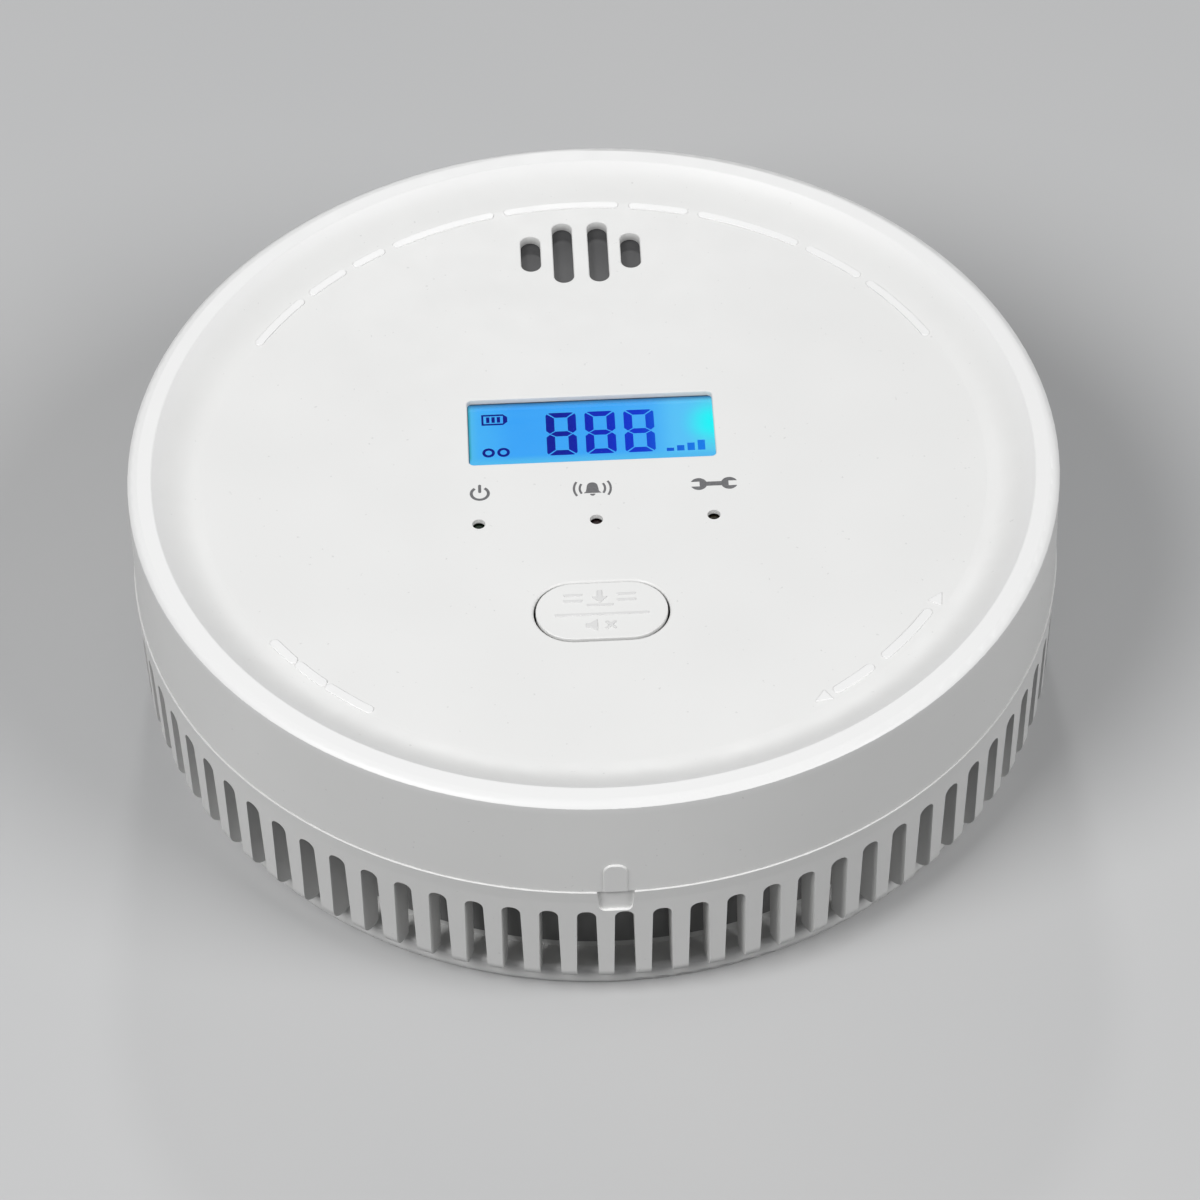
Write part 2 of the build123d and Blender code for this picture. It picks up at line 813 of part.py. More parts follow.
os.makedirs("parts", exist_ok=True)
for name, make in nodes.items():
    shape = make()
    if isinstance(shape, list):
        shape = Compound(children=[piece.solid() for piece in shape])
    export_step(shape, f"parts/{name}.step")
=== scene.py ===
import json
import math

import bmesh
import bpy
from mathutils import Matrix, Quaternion, Vector


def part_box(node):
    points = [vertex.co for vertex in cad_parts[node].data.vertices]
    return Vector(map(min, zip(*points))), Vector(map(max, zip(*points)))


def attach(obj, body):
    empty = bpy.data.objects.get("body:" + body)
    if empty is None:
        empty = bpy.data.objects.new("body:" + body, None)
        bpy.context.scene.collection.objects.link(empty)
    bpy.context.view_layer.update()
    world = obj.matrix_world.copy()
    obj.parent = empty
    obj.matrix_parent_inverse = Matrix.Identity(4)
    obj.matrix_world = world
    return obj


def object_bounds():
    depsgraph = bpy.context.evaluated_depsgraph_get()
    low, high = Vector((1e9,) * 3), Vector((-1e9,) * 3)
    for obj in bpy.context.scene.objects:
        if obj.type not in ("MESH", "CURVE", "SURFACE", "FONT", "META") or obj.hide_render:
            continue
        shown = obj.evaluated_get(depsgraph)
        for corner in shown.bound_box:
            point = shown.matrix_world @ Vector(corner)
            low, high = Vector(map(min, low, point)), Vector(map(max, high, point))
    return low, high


# Carbon monoxide detector: looks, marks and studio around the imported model.
# The object's lengths are in millimetres, and become metres where a mesh or a material
# is made. The studio's lengths are in metres. Angles are in degrees.

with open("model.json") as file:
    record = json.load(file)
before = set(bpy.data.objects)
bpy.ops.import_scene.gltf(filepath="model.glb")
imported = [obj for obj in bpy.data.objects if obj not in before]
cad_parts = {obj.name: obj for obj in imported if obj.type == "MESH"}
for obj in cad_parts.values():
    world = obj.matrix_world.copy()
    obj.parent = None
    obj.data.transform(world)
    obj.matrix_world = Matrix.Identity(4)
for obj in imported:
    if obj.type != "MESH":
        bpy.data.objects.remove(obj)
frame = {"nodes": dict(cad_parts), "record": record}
cad_low, cad_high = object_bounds()

MM = 0.001
VIEW_ELEVATION = 46.57
FACE_DEPTH = 2.0
WINDOW_HALF_LENGTH = 14.2
WINDOW_HALF_WIDTH = 5.3
DISPLAY_TOP_MARGIN = 0.35

nodes = frame["nodes"]
top_z = cad_high.z / MM
face_z = top_z - FACE_DEPTH
window_low, window_high = (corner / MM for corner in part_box("display_window"))
window_x = (window_low.x + window_high.x) / 2
window_y = (window_low.y + window_high.y) / 2
window_left, window_right = window_x - WINDOW_HALF_LENGTH, window_x + WINDOW_HALF_LENGTH
lcd_z = (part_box("lcd_glass")[1] / MM).z
button_low, button_high = (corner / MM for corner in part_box("test_button"))
button_x = (button_low.x + button_high.x) / 2
button_y = (button_low.y + button_high.y) / 2

# The display lies below the face, so at the main view's angle the opening's near edge hides its lowest
# strip. The display's colours and its painted shadows are laid out between these two places.
parallax = (face_z - lcd_z) / math.tan(math.radians(VIEW_ELEVATION))
visible_bottom = window_y - WINDOW_HALF_WIDTH + parallax
visible_top = window_y + WINDOW_HALF_WIDTH + DISPLAY_TOP_MARGIN


# --- Material recipes -----------------------------------------------------------------
class Recipe:
    """The node tree of one material. Textures follow the object's own coordinates."""

    def __init__(self, name, **constants):
        self.material = bpy.data.materials.new(name)
        self.material.use_nodes = True
        self.tree = self.material.node_tree
        self.shader = self.tree.nodes["Principled BSDF"]
        self.position = self.node("ShaderNodeTexCoord").outputs["Object"]
        for socket, value in constants.items():
            self.shader.inputs[socket.replace("_", " ")].default_value = value

    def node(self, kind, **settings):
        made = self.tree.nodes.new(kind)
        for name, value in settings.items():
            setattr(made, name, value)
        return made

    def link(self, output, target):
        self.tree.links.new(output, target)

    def noise(self, size, detail=2.0, stretch=None):
        """Smooth noise from 0 to 1 whose blobs are about size across."""
        texture = self.node("ShaderNodeTexNoise")
        texture.inputs["Scale"].default_value = 1 / (size * MM)
        texture.inputs["Detail"].default_value = detail
        source = self.position
        if stretch:
            mapping = self.node("ShaderNodeMapping")
            mapping.inputs["Scale"].default_value = stretch
            self.link(source, mapping.inputs["Vector"])
            source = mapping.outputs["Vector"]
        self.link(source, texture.inputs["Vector"])
        return texture.outputs["Fac"]

    def spread(self, value, low, high, start=0.3, stop=0.7):
        """Maps a value between start and stop to a number between low and high."""
        ranged = self.node("ShaderNodeMapRange")
        numbers = {"From Min": start, "From Max": stop, "To Min": low, "To Max": high}
        for socket, number in numbers.items():
            ranged.inputs[socket].default_value = number
        self.link(value, ranged.inputs["Value"])
        return ranged.outputs["Result"]

    def blend(self, factor, first, second):
        """Mixes two colours, each a tuple or the output of a node."""
        mixer = self.node("ShaderNodeMix", data_type="RGBA")
        self.link(factor, mixer.inputs["Factor"])
        for colour, socket in ((first, mixer.inputs[6]), (second, mixer.inputs[7])):
            if isinstance(colour, tuple):
                socket.default_value = (*colour, 1)
            else:
                self.link(colour, socket)
        return mixer.outputs[2]

    def ramp(self, value, *stops):
        """Colours along a value from 0 to 1, each stop a (place, colour)."""
        band = self.node("ShaderNodeValToRGB")
        band.color_ramp.interpolation = "EASE"
        elements = band.color_ramp.elements
        elements.remove(elements[1])
        elements[0].position = stops[0][0]
        elements[0].color = (*stops[0][1], 1)
        for place, colour in stops[1:]:
            elements.new(place).color = (*colour, 1)
        self.link(value, band.inputs["Fac"])
        return band.outputs["Color"]

    def bump(self, *layers):
        """Stacks bump layers, each a (height, depth in millimetres, strength)."""
        normal = None
        for height, depth, strength in layers:
            relief = self.node("ShaderNodeBump")
            relief.inputs["Distance"].default_value = depth * MM
            relief.inputs["Strength"].default_value = strength
            self.link(height, relief.inputs["Height"])
            if normal:
                self.link(normal, relief.inputs["Normal"])
            normal = relief.outputs["Normal"]
        self.link(normal, self.shader.inputs["Normal"])

    def feed(self, **outputs):
        for socket, output in outputs.items():
            self.link(output, self.shader.inputs[socket.replace("_", " ")])


# --- Places on the surface, as values from 0 to 1 -------------------------------------
def along(recipe, axis, start, stop, interpolation="SMOOTHSTEP"):
    """0 to 1 between two places on one axis of the object, in millimetres."""
    parts = recipe.node("ShaderNodeSeparateXYZ")
    recipe.link(recipe.position, parts.inputs["Vector"])
    ramp = recipe.node("ShaderNodeMapRange", interpolation_type=interpolation)
    ramp.inputs["From Min"].default_value = start * MM
    ramp.inputs["From Max"].default_value = stop * MM
    recipe.link(parts.outputs[axis], ramp.inputs["Value"])
    return ramp.outputs["Result"]


def from_axis(recipe, start, stop):
    """0 to 1 between two distances from the middle of the face, in millimetres."""
    flat = recipe.node("ShaderNodeVectorMath", operation="MULTIPLY")
    flat.inputs[1].default_value = (1, 1, 0)
    recipe.link(recipe.position, flat.inputs[0])
    reach = recipe.node("ShaderNodeVectorMath", operation="LENGTH")
    recipe.link(flat.outputs["Vector"], reach.inputs[0])
    return recipe.spread(reach.outputs["Value"], 0, 1, start * MM, stop * MM)


def both(recipe, first, second):
    """The product of two values from 0 to 1."""
    product = recipe.node("ShaderNodeMath", operation="MULTIPLY")
    recipe.link(first, product.inputs[0])
    recipe.link(second, product.inputs[1])
    return product.outputs["Value"]


def rim_painted_light_zone(recipe):
    """The rim and the upper part of the cove, painted in a paler tone as painted light falling on them.
    """
    return both(recipe, from_axis(recipe, 47, 50.6), along(recipe, "Z", top_z - 1.6, top_z - 0.4))


def opening_painted_shade_zone(recipe):
    """The walls of the openings, deeper than the face, painted darker as painted shade in the recesses.
    """
    inside = from_axis(recipe, 47, 46)
    return both(recipe, inside, along(recipe, "Z", face_z - 0.15, face_z - 1.2))


def vent_painted_shade_zone(recipe):
    """The wall behind the ring of fins, painted dark as painted shade inside the vents."""
    return both(recipe, from_axis(recipe, 46.8, 47.4), from_axis(recipe, 50.0, 48.6))


def gap_painted_shade_zone(recipe):
    """The button's sides, down in the gap round it, painted near black as painted shade in the gap."""
    return along(recipe, "Z", button_high.z - 0.2, button_high.z - 1.2)


def lid_painted_light_zone(recipe):
    """The end of the sounder's lid that catches more light, painted paler as painted light."""
    return along(recipe, "Y", 40, 29)


def near(recipe, centre, reach):
    """1 at a point, falling smoothly to 0 at reach from it."""
    apart = recipe.node("ShaderNodeVectorMath", operation="DISTANCE")
    apart.inputs[1].default_value = Vector(centre) * MM
    recipe.link(recipe.position, apart.inputs[0])
    ramp = recipe.node("ShaderNodeMapRange", interpolation_type="SMOOTHERSTEP")
    ramp.inputs["From Min"].default_value = 0
    ramp.inputs["From Max"].default_value = reach * MM
    ramp.inputs["To Min"].default_value = 1
    ramp.inputs["To Max"].default_value = 0
    recipe.link(apart.outputs["Value"], ramp.inputs["Value"])
    return ramp.outputs["Result"]


# --- Materials ------------------------------------------------------------------------
def moulded(name, colour, roughness=0.42, tone=0.03, specks=0.0, zones=()):
    """Injection-moulded plastic: fine grain, slow flow marks and, if asked, dark specks.

    Each zone is a pair: a function that finds a part of the surface, and its colour, a painted light or
    painted shade laid on that part.
    """
    grain_size, grain_depth, grain_strength = 0.14, 0.004, 0.35
    flow_size, flow_depth, flow_strength = 9, 0.03, 0.12
    speck_size, speck_darkness = 0.55, 0.45
    roughness_change = 0.035
    recipe = Recipe(name)
    cloudy = recipe.noise(size=16, detail=3)
    darker = tuple(part * (1 - tone) for part in colour)
    shade = recipe.blend(recipe.spread(cloudy, 0, 1), darker, colour)
    if specks:
        dots = recipe.spread(recipe.noise(speck_size, 1), 0, specks, 0.76, 0.80)
        shade = recipe.blend(dots, shade, tuple(part * speck_darkness for part in colour))
    for zone, zone_colour in zones:
        shade = recipe.blend(zone(recipe), shade, zone_colour)
    patches = recipe.noise(size=4, detail=2)
    recipe.feed(
        Base_Color=shade,
        Roughness=recipe.spread(patches, roughness - roughness_change, roughness + roughness_change),
    )
    recipe.bump(
        (recipe.noise(grain_size, 2), grain_depth, grain_strength),
        (recipe.noise(flow_size, 2), flow_depth, flow_strength),
    )
    return recipe.material


def metal(name, colour, roughness=0.32, brushed=(1, 1, 1)):
    """Bare or plated metal with a little tarnish, and drawn marks if brushed is uneven."""
    tarnish = 0.12
    recipe = Recipe(name, Metallic=1.0)
    dull = tuple(part * (1 - tarnish) for part in colour)
    recipe.feed(
        Base_Color=recipe.blend(recipe.spread(recipe.noise(3, 3), 0, 1), dull, colour),
        Roughness=recipe.spread(recipe.noise(0.6, 3, brushed), roughness - 0.08, roughness + 0.1),
    )
    recipe.bump((recipe.noise(0.12, 2, brushed), 0.004, 0.4))
    return recipe.material


def rubbery(name, colour, cell=0.3, depth=0.03):
    """Foam, elastomer or wire insulation: dull, with a fine cellular surface."""
    recipe = Recipe(name, IOR=1.42)
    paler = tuple(min(1, part * 1.5 + 0.01) for part in colour)
    pores = recipe.node("ShaderNodeTexVoronoi")
    pores.inputs["Scale"].default_value = 1 / (cell * MM)
    recipe.link(recipe.position, pores.inputs["Vector"])
    recipe.feed(
        Base_Color=recipe.blend(recipe.spread(recipe.noise(1.4, 3), 0, 1), colour, paler),
        Roughness=recipe.spread(recipe.noise(0.8, 2), 0.68, 0.85),
    )
    recipe.bump((pores.outputs["Distance"], depth, 0.4))
    return recipe.material


def felt(name, colour):
    """Thin filter felt with matted fibres."""
    recipe = Recipe(name, IOR=1.4)
    fibres = recipe.noise(0.18, 6, (1, 6, 1))
    crossing = recipe.noise(0.18, 6, (6, 1, 1))
    darker = tuple(part * 0.75 for part in colour)
    recipe.feed(
        Base_Color=recipe.blend(recipe.spread(fibres, 0, 1), darker, colour),
        Roughness=recipe.spread(crossing, 0.85, 0.98),
    )
    recipe.bump((fibres, 0.05, 0.6), (crossing, 0.05, 0.6))
    return recipe.material


def clear_pane(name):
    """Polished acrylic with the faintest waviness and dust."""
    recipe = Recipe(name, Transmission_Weight=1.0, IOR=1.49)
    dust = recipe.spread(recipe.noise(0.4, 1), 0.0, 0.25, 0.74, 0.80)
    recipe.feed(
        Base_Color=recipe.blend(recipe.noise(12, 2), (0.985, 0.992, 1.0), (1.0, 1.0, 1.0)),
        Roughness=recipe.spread(dust, 0.012, 0.1, 0, 1),
    )
    recipe.bump((recipe.noise(6, 1), 0.002, 0.2))
    return recipe.material


def lit_display(name):
    """Backlit display glass, brightest beside the lamp at its right-hand end, with painted shadow along
    its top and left edges.
    """
    recipe = Recipe(
        name, Base_Color=(0.004, 0.01, 0.02, 1), Specular_IOR_Level=0.0, Emission_Strength=1.0
    )
    left, right = window_left, window_right
    middle_y = (visible_bottom + visible_top) / 2
    lamp_cyan, edge_teal = (0.0, 1.0, 1.0), (0.030, 0.36, 0.46)
    foot_blue, painted_shadow_blue = (0.085, 0.52, 0.93), (0.016, 0.14, 0.34)
    painted_gap_shadow = (0.002, 0.012, 0.03)
    colour = recipe.ramp(
        along(recipe, "X", left, right, "LINEAR"),
        (0.0, (0.085, 0.53, 0.90)), (0.05, (0.055, 0.46, 1.0)), (0.2, (0.038, 0.39, 1.0)),
        (0.5, (0.042, 0.40, 1.0)), (0.72, (0.055, 0.43, 1.0)), (0.86, (0.10, 0.58, 1.0)),
        (1.0, (0.10, 0.64, 0.92)),
    )
    glow = near(recipe, (right + 0.3, middle_y + 0.4, lcd_z), 5.0)
    colour = recipe.blend(glow, colour, lamp_cyan)
    colour = recipe.blend(along(recipe, "X", left + 0.45, left + 0.1), colour, edge_teal)
    colour = recipe.blend(along(recipe, "Y", visible_bottom + 1.2, visible_bottom), colour, foot_blue)
    # Painted shadow: the top strip darkens under the opening's far wall, and thin dark lines at the top
    # and left edges stand for the shadow of the gap round the display.
    colour = recipe.blend(along(recipe, "Y", visible_top - 1.0, visible_top), colour, painted_shadow_blue)
    top_painted_shadow = along(recipe, "Y", visible_top - 0.22, visible_top - 0.06)
    side_painted_shadow = along(recipe, "X", left + 0.14, left + 0.02)
    colour = recipe.blend(top_painted_shadow, colour, painted_gap_shadow)
    colour = recipe.blend(side_painted_shadow, colour, painted_gap_shadow)
    streaks = recipe.spread(recipe.noise(1.6, 2, (0.2, 1, 1)), 0.0, 0.10)
    recipe.feed(
        Emission_Color=recipe.blend(streaks, colour, (0.12, 0.55, 1.0)),
        Roughness=recipe.spread(recipe.noise(3, 1), 0.2, 0.3),
    )
    recipe.bump((recipe.noise(3, 1), 0.002, 0.1))
    return recipe.material


def display_ink(name):
    """Dark display segments, navy on the left and lighter towards the lamp."""
    recipe = Recipe(
        name, Base_Color=(0.0, 0.002, 0.01, 1), Specular_IOR_Level=0.0, Emission_Strength=1.0
    )
    ink_reach = 13
    colour = recipe.ramp(
        along(recipe, "X", -ink_reach, ink_reach, "LINEAR"),
        (0.0, (0.0, 0.002, 0.22)), (0.35, (0.0, 0.005, 0.30)), (0.52, (0.0, 0.015, 0.49)),
        (0.70, (0.0, 0.032, 0.64)), (0.83, (0.0, 0.10, 0.72)), (0.98, (0.004, 0.21, 0.86)),
    )
    uneven = recipe.spread(recipe.noise(0.5, 2), 0.0, 0.06)
    recipe.feed(
        Emission_Color=recipe.blend(uneven, colour, (0.0, 0.08, 0.7)),
        Roughness=recipe.spread(recipe.noise(0.5, 1), 0.3, 0.4),
    )
    recipe.bump((recipe.noise(0.3, 1), 0.001, 0.1))
    return recipe.material


def printed_ink(name, colour):
    """Pad-printed ink, slightly uneven, thinner in places."""
    recipe = Recipe(name)
    thin = tuple(part * 1.35 for part in colour)
    recipe.feed(
        Base_Color=recipe.blend(recipe.spread(recipe.noise(0.25, 3), 0, 1, 0.4, 0.7), colour, thin),
        Roughness=recipe.spread(recipe.noise(0.3, 2), 0.5, 0.62),
    )
    recipe.bump((recipe.noise(0.1, 2), 0.003, 0.3))
    return recipe.material


def laminate(name):
    """Green solder mask over faint copper tracks."""
    recipe = Recipe(name, Coat_Weight=0.3)
    tracks = recipe.node("ShaderNodeTexBrick")
    tracks.inputs["Scale"].default_value = 1 / (9 * MM)
    tracks.inputs["Mortar Size"].default_value = 0.03
    recipe.link(recipe.position, tracks.inputs["Vector"])
    dark_green, light_green, track_green = (0.012, 0.13, 0.05), (0.015, 0.17, 0.06), (0.03, 0.27, 0.09)
    mask = recipe.blend(recipe.spread(recipe.noise(5, 2), 0, 1), dark_green, light_green)
    recipe.feed(
        Base_Color=recipe.blend(tracks.outputs["Fac"], mask, track_green),
        Roughness=recipe.spread(recipe.noise(0.5, 2), 0.3, 0.42),
    )
    recipe.bump((tracks.outputs["Fac"], 0.03, 0.5))
    return recipe.material


# --- Shapes for the marks -------------------------------------------------------------
def prism_object(name, outlines, low, high, body, material, soft=0.0):
    """One object from closed outlines in millimetres, each a flat plate from low to high."""
    mesh = bpy.data.meshes.new(name)
    shape = bmesh.new()
    for outline in outlines:
        lower = [shape.verts.new((x * MM, y * MM, low * MM)) for x, y in outline]
        upper = [shape.verts.new((x * MM, y * MM, high * MM)) for x, y in outline]
        shape.faces.new(list(reversed(lower)))
        shape.faces.new(upper)
        for first, second, third, fourth in zip(
            lower, lower[1:] + lower[:1], upper[1:] + upper[:1], upper
        ):
            shape.faces.new((first, second, third, fourth))
    bmesh.ops.recalc_face_normals(shape, faces=shape.faces)
    shape.to_mesh(mesh)
    shape.free()
    piece = bpy.data.objects.new(name, mesh)
    bpy.context.scene.collection.objects.link(piece)
    mesh.materials.append(material)
    if soft:
        round_edges(piece, soft)
    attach(piece, body)
    return piece


def arc_points(centre, radius, start, stop, steps):
    """Points on an arc."""
    turns = [math.radians(start + (stop - start) * step / steps) for step in range(steps + 1)]
    return [(centre[0] + radius * math.cos(turn), centre[1] + radius * math.sin(turn)) for turn in turns]


def arc_bar(inner, outer, start, stop):
    """A bar with round ends, bent along a circle about the middle of the face."""
    middle = (inner + outer) / 2
    half = (outer - inner) / 2
    ends = []
    for angle in (start, stop):
        turn = math.radians(angle)
        ends.append((middle * math.cos(turn), middle * math.sin(turn)))
    steps = max(6, int(abs(stop - start) * 1.5))
    direction = 1 if stop > start else -1
    outline = arc_points((0, 0), outer, start, stop, steps)
    outline += arc_points(ends[1], half, stop, stop + 180 * direction, 8)[1:-1]
    outline += arc_points((0, 0), inner, stop, start, steps)
    outline += arc_points(ends[0], half, start + 180 * direction, start + 360 * direction, 8)[1:-1]
    return outline


def bar(x0, y0, x1, y1, width):
    """A straight stroke with round ends."""
    angle = math.degrees(math.atan2(y1 - y0, x1 - x0))
    outline = arc_points((x1, y1), width / 2, angle - 90, angle + 90, 6)
    return outline + arc_points((x0, y0), width / 2, angle + 90, angle + 270, 6)


def band(centre, radius, width, start, stop, steps=20):
    """A stroke along an arc."""
    outer = arc_points(centre, radius + width / 2, start, stop, steps)
    inner = arc_points(centre, radius - width / 2, stop, start, steps)
    return outer + inner


def moved(outline, x, y):
    return [(px + x, py + y) for px, py in outline]


def rectangle(x0, y0, x1, y1):
    return [(x0, y0), (x1, y0), (x1, y1), (x0, y1)]


def round_edges(piece, width):
    """Rounds the sharp edges, then evens out the shading."""
    sharp_from = 32
    bevel = piece.modifiers.new("rounded edges", "BEVEL")
    bevel.width = width * MM
    bevel.segments = 2
    bevel.limit_method = "ANGLE"
    bevel.angle_limit = math.radians(sharp_from)
    bevel.harden_normals = False
    smooth(piece)


def smooth(piece, angle=36):
    """Smooth shading that breaks only at edges sharper than the angle."""
    piece.data.shade_smooth()
    piece.data.set_sharp_from_angle(angle=math.radians(angle))
    even = piece.modifiers.new("even shading", "WEIGHTED_NORMAL")
    even.keep_sharp = True
    even.weight = 80


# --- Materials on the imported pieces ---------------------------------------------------
WHITE = (0.80, 0.80, 0.79)
finishes = {
    "cover_abs": moulded(
        "satin_white_cover", WHITE, specks=0.25,
        # The paler rim tone is painted light, and the darker opening walls are painted shade.
        zones=[(rim_painted_light_zone, (0.845, 0.845, 0.84)), (opening_painted_shade_zone, (0.42, 0.42, 0.415))],
    ),
    "housing_abs": moulded(
        # The dark wall behind the fins is painted shade.
        "satin_white_housing", (0.79, 0.79, 0.78), specks=0.2, zones=[(vent_painted_shade_zone, (0.22, 0.22, 0.22))]
    ),
    "bracket_abs": moulded("satin_white_bracket", (0.77, 0.77, 0.76), roughness=0.5),
    "button_abs": moulded(
        # The near-black gap round the button is painted shade.
        "satin_white_button", WHITE, roughness=0.4, zones=[(gap_painted_shade_zone, (0.05, 0.05, 0.05))]
    ),
    "clear_window": clear_pane("clear_window"),
    "lcd": lit_display("lit_display"),
    "light_guide": moulded("light_guide", (0.55, 0.72, 0.9), roughness=0.3),
    "blue_led": moulded("backlight_lamp", (0.3, 0.7, 0.9), roughness=0.25),
    "elastomer": rubbery("layered_elastomer", (0.45, 0.30, 0.34)),
    "holder_plastic": moulded("white_inner_plastic", (0.72, 0.72, 0.70)),
    "black_plastic": moulded("black_plastic", (0.02, 0.02, 0.021), roughness=0.5),
    "dark_plastic": moulded(
        "dark_grey_plastic", (0.07, 0.07, 0.072), roughness=0.55, tone=0.1,
        # The paler end of the lid is painted light.
        zones=[(lid_painted_light_zone, (0.15, 0.15, 0.152))],
    ),
    "steel": metal("nickel_plated_steel", (0.62, 0.62, 0.60)),
    "solder": metal("tinned_leads", (0.66, 0.66, 0.65), roughness=0.25),
    "green_lamp": moulded("smoked_green_lamp", (0.010, 0.022, 0.012), roughness=0.12),
    "red_lamp": moulded("smoked_red_lamp", (0.022, 0.010, 0.010), roughness=0.12),
    "yellow_lamp": moulded("smoked_yellow_lamp", (0.022, 0.018, 0.008), roughness=0.12),
    "brass": metal("rolled_brass", (0.62, 0.42, 0.16), roughness=0.3, brushed=(1, 14, 1)),
    "ceramic": moulded("silvered_ceramic", (0.62, 0.60, 0.54), roughness=0.35),
    "wire_red": rubbery("red_insulation", (0.35, 0.015, 0.012), cell=0.2, depth=0.005),
    "wire_black": rubbery("black_insulation", (0.015, 0.015, 0.016), cell=0.2, depth=0.005),
    "foam": rubbery("closed_cell_foam", (0.03, 0.03, 0.032)),
    "felt": felt("filter_felt", (0.62, 0.62, 0.60)),
    "board_laminate": laminate("green_board"),
    "chip_ceramic": moulded("chip_ceramic", (0.16, 0.12, 0.08), roughness=0.45, tone=0.25),
    "copper_coil": metal("enamelled_copper", (0.52, 0.20, 0.07), brushed=(1, 1, 12)),
    "crystal_can": metal("drawn_steel_can", (0.6, 0.6, 0.6), brushed=(10, 1, 1)),
    "capacitor_can": metal("aluminium_can", (0.66, 0.67, 0.69), brushed=(1, 1, 10)),
    "label_film": moulded("blank_silver_label", (0.6, 0.61, 0.62), roughness=0.35),
    "cell_jacket": metal("plain_cell_jacket", (0.22, 0.23, 0.25), roughness=0.3),
}

for subpart in frame["record"]["subparts"]:
    piece = nodes[subpart["node"]]
    piece.data.materials.clear()
    piece.data.materials.append(finishes[subpart["material_slot"]])

ROUNDED = {"rear_housing": 0.12, "mounting_bracket": 0.2}
COVER_SHARP_ANGLE = 62
for name, piece in nodes.items():
    if name in ROUNDED:
        round_edges(piece, ROUNDED[name])
    elif name == "front_cover":
        smooth(piece, COVER_SHARP_ANGLE)
    else:
        smooth(piece)


# --- Raised marks on the face ---------------------------------------------------------
ink = printed_ink("grey_print", (0.13, 0.13, 0.135))
segment_ink = display_ink("display_segments")
raised_white = moulded("raised_marks", (0.85, 0.85, 0.845), roughness=0.32)
raised_grey = moulded("raised_button_marks", (0.70, 0.70, 0.695), roughness=0.4)
mark_low, mark_high = face_z - 0.05, face_z + 0.14
MARK_EDGE_ROUND = 0.07
INSTRUCTION_LENGTHS = (10.5, 6, 4.5, 15.5, 16.5, 8, 15.5, 9, 13.5)
CARE_LENGTHS = (4.2, 4.6, 7.0)
TWIST_RADIUS = 43.9
TWIST_LENGTHS = (6.2, 10.4)


def words_on_arc(inner, outer, start, lengths, gap):
    """Bars that stand for words along an arc. A gap below 0 runs them clockwise."""
    bars = []
    angle = start
    direction = 1 if gap > 0 else -1
    for length in lengths:
        bars.append(arc_bar(inner, outer, angle, angle + length * direction))
        angle += length * direction + gap
    return bars


def arrow_head(radius, tip, foot, half):
    """A triangle on a circle that points from one angle to another."""
    turn_tip, turn_foot = math.radians(tip), math.radians(foot)
    return [
        (radius * math.cos(turn_tip), radius * math.sin(turn_tip)),
        ((radius + half) * math.cos(turn_foot), (radius + half) * math.sin(turn_foot)),
        ((radius - half) * math.cos(turn_foot), (radius - half) * math.sin(turn_foot)),
    ]


def twist_arrow():
    """Two bars between two arrow heads that point away from each other."""
    half_head = 0.85
    heads = [
        arrow_head(TWIST_RADIUS, tip=301.3, foot=303.7, half=half_head),
        arrow_head(TWIST_RADIUS, tip=330.2, foot=327.8, half=half_head),
    ]
    return heads + words_on_arc(43.35, 44.45, 305.4, TWIST_LENGTHS, gap=3.6)


for name, outlines in (
    ("instruction_bars", words_on_arc(44.1, 45.1, 149, INSTRUCTION_LENGTHS, gap=-2.9)),
    ("care_bars", words_on_arc(43.9, 45.0, 214.9, CARE_LENGTHS, gap=1.6)),
    ("twist_arrow", twist_arrow()),
):
    prism_object(
        name, outlines, mark_low, mark_high, "detector", raised_white, soft=MARK_EDGE_ROUND
    )


# --- Printed symbols above the lamps --------------------------------------------------
print_low, print_high = face_z - 0.02, face_z + 0.015
symbol_y = -3.25
stroke = 0.34


def power_symbol(x, y):
    return [band((x, y - 0.1), 0.98, stroke, 125, 415), bar(x, y + 0.15, x, y + 1.15, stroke)]


def bell_symbol(x, y):
    """A bell with its clapper, between two pairs of sound waves."""
    wave_stroke = 0.26
    dome = arc_points((0, 0.35), 0.62, 0, 180, 10)
    body = dome + [(-0.75, -0.45), (-1.02, -0.72), (1.02, -0.72), (0.75, -0.45)]
    clapper = arc_points((0, -0.86), 0.3, 180, 360, 8)
    shapes = [moved(body, x, y), moved(clapper, x, y)]
    for reach in (1.45, 2.1):
        shapes.append(band((x, y), reach, wave_stroke, -32, 32, 8))
        shapes.append(band((x, y), reach, wave_stroke, 148, 212, 8))
    return shapes


def spanner_symbol(x, y):
    """A spanner that lies level, open at both ends."""
    jaw, notch, shank = 0.95, 0.38, 0.33
    jaw_x, notch_x = 1.75, 1.65
    opening = math.degrees(math.asin(notch / jaw))
    neck = math.degrees(math.asin(shank / jaw))
    right = arc_points((jaw_x, 0), jaw, opening, 180 - neck, 12)
    left = arc_points((-jaw_x, 0), jaw, neck, 180 - opening, 12)
    under_left = [(px, -py) for px, py in reversed(left)]
    under_right = [(px, -py) for px, py in reversed(right)]
    outline = [(notch_x, notch)] + right + left + [(-notch_x, notch), (-notch_x, -notch)]
    outline += under_left + under_right + [(notch_x, -notch)]
    return [moved(outline, x, y)]


for name, outlines in (
    ("power_symbol", power_symbol(-13.1, symbol_y)),
    ("alarm_symbol", bell_symbol(-0.25, symbol_y)),
    ("fault_symbol", spanner_symbol(13.65, symbol_y)),
):
    prism_object(name, outlines, print_low, print_high, "detector", ink)


# --- Raised symbols on the test button ------------------------------------------------
button_top = button_high.z
raised_low, raised_high = button_top - 0.04, button_top + 0.10


